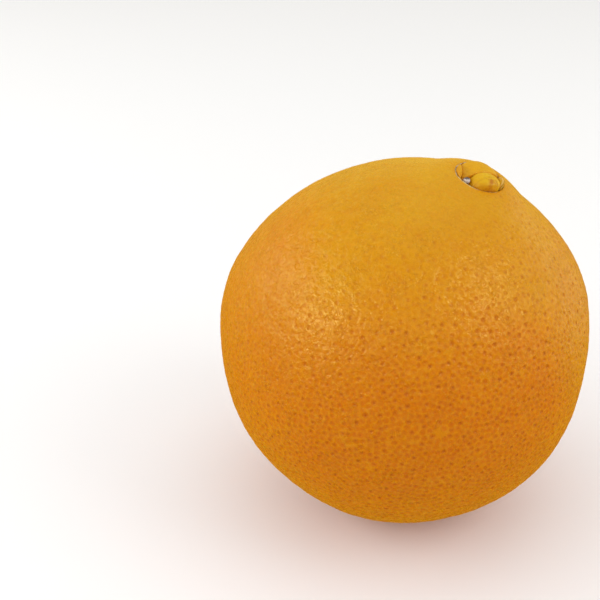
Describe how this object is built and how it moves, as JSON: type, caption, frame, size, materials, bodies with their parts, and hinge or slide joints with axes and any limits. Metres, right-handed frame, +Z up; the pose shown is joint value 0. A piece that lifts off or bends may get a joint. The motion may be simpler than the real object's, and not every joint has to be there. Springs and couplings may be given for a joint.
{
  "type": "whole navel orange",
  "caption": "Whole unpeeled navel orange, slightly lopsided, with a raised navel opening filled by small lobes and a furrowed stem end with a green button underneath.",
  "frame": {"origin": "middle of the small flat spot that the orange rests on", "axes": "+Z up from the surface it rests on; the navel end leans about 20 degrees from +Z towards +X"},
  "size_m": [0.0806, 0.08, 0.0805],
  "materials": {
    "orange_peel": "satin",
    "navel_lobe_skin": "satin",
    "dry_membrane": "matte",
    "dried_style": "matte",
    "green_calyx": "matte",
    "cut_stem": "matte"
  },
  "bodies": {
    "root": {"peel": "orange_peel", "navel_lobe_back": "navel_lobe_skin", "navel_lobe_front": "navel_lobe_skin", "navel_lobe_side": "navel_lobe_skin", "navel_membrane": "dry_membrane", "style_nub": "dried_style", "calyx": "green_calyx", "stem_stub": "cut_stem"}
  },
  "joints": []
}
